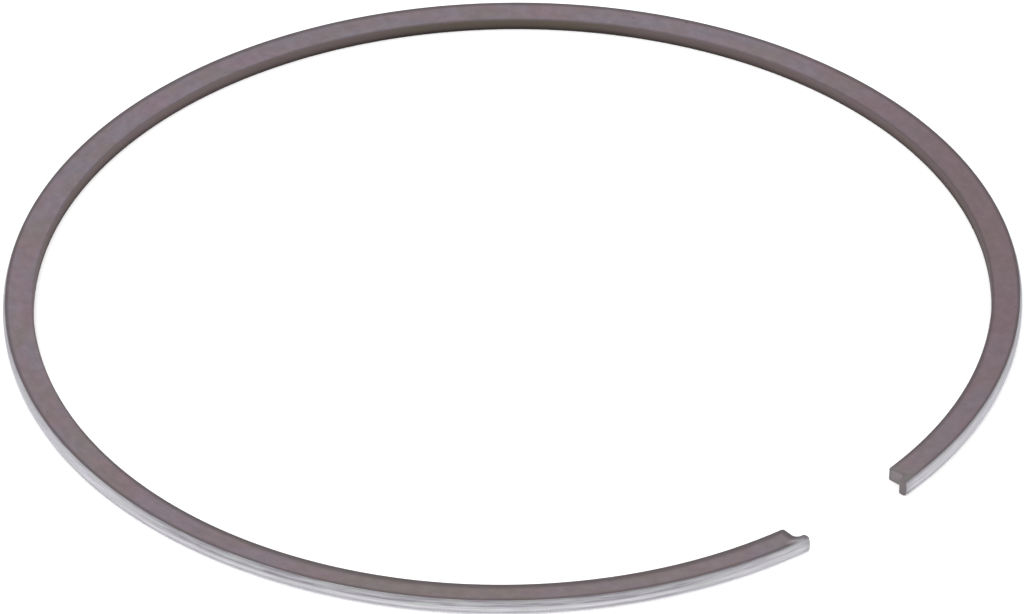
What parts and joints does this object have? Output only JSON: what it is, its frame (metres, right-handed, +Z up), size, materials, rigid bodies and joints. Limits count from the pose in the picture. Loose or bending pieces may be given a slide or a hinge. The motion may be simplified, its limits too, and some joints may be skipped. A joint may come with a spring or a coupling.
{
  "type": "piston ring",
  "caption": "Split piston ring with a half keystone section, sprung open as it lies free, with a notch for a locating pin in the inner corner of each end.",
  "frame": {"origin": "on the lower side, in the middle of the free ring's outline", "axes": "+Z up along the ring's axis, from the flat lower side to the falling upper side; the gap opens toward -Y and the ring is alike on both sides of the YZ plane"},
  "size_m": [0.0752, 0.0739, 0.0012],
  "materials": {
    "ring_steel": "phosphated sides and inner face, lapped bright running face"
  },
  "bodies": {
    "root": {"piston_ring": "ring_steel"}
  },
  "joints": []
}
